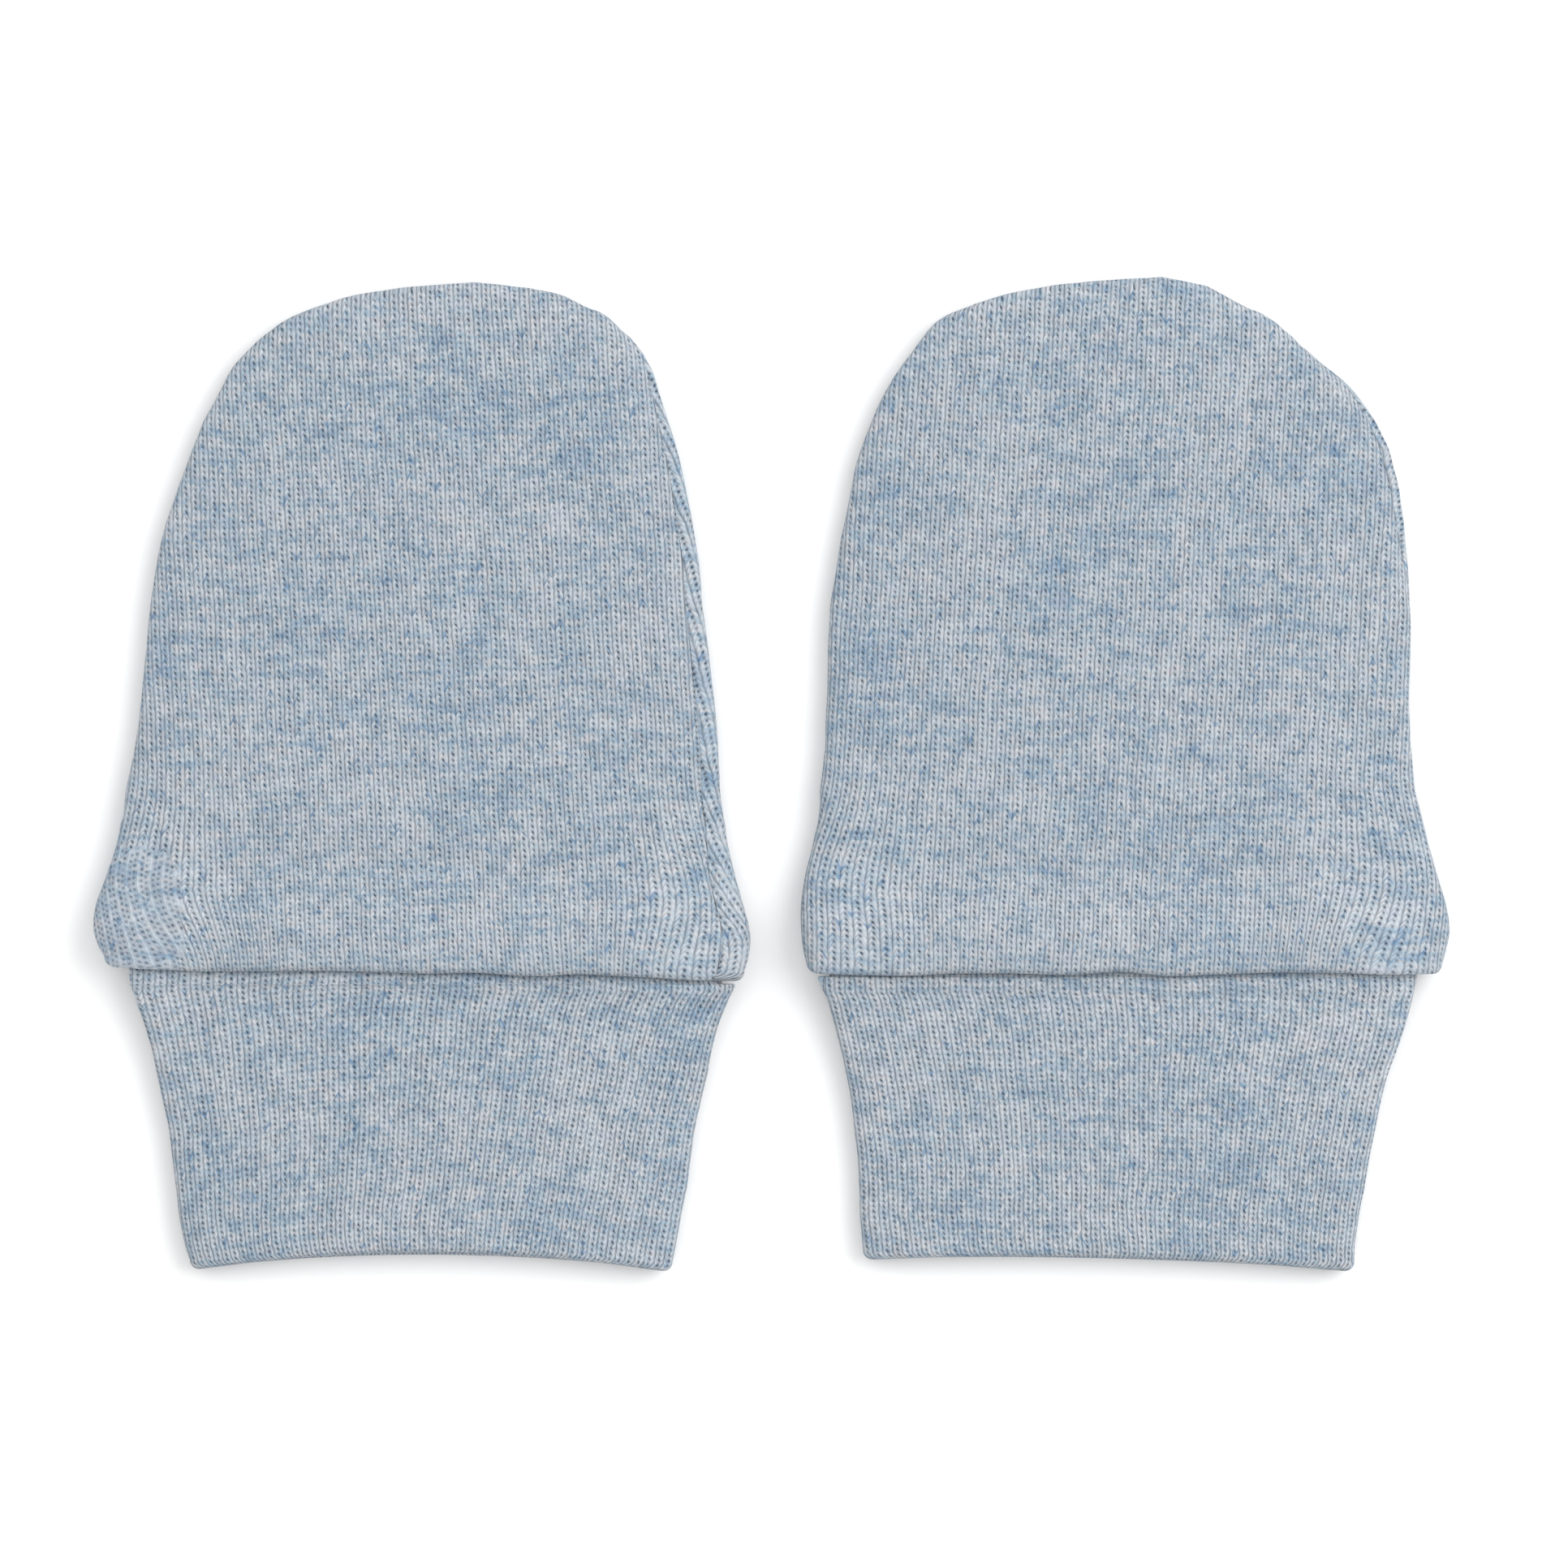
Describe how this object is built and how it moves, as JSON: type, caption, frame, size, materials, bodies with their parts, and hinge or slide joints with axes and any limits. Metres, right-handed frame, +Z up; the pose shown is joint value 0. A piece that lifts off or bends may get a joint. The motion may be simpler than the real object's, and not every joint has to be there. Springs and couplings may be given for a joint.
{
  "type": "pair of baby mittens",
  "caption": "Pair of thumbless baby mittens in fine heather rib knit, laid flat side by side, each with a rounded hand pouch that folds over a long plain ribbed cuff.",
  "frame": {"origin": "on the table, under the middle of the pair's box", "axes": "+X across the pair to the right mitten, +Y from the cuffs to the fingertips, +Z up from the table"},
  "size_m": [0.1518, 0.1114, 0.0085],
  "materials": {
    "rib_knit_body": "heather blue cotton rib knit, matt",
    "rib_knit_cuff": "heather blue cotton rib knit, matt"
  },
  "bodies": {
    "root": {"left_front": "rib_knit_body", "left_back": "rib_knit_body", "left_cuff": "rib_knit_cuff", "right_front": "rib_knit_body", "right_back": "rib_knit_body", "right_cuff": "rib_knit_cuff"}
  },
  "joints": []
}
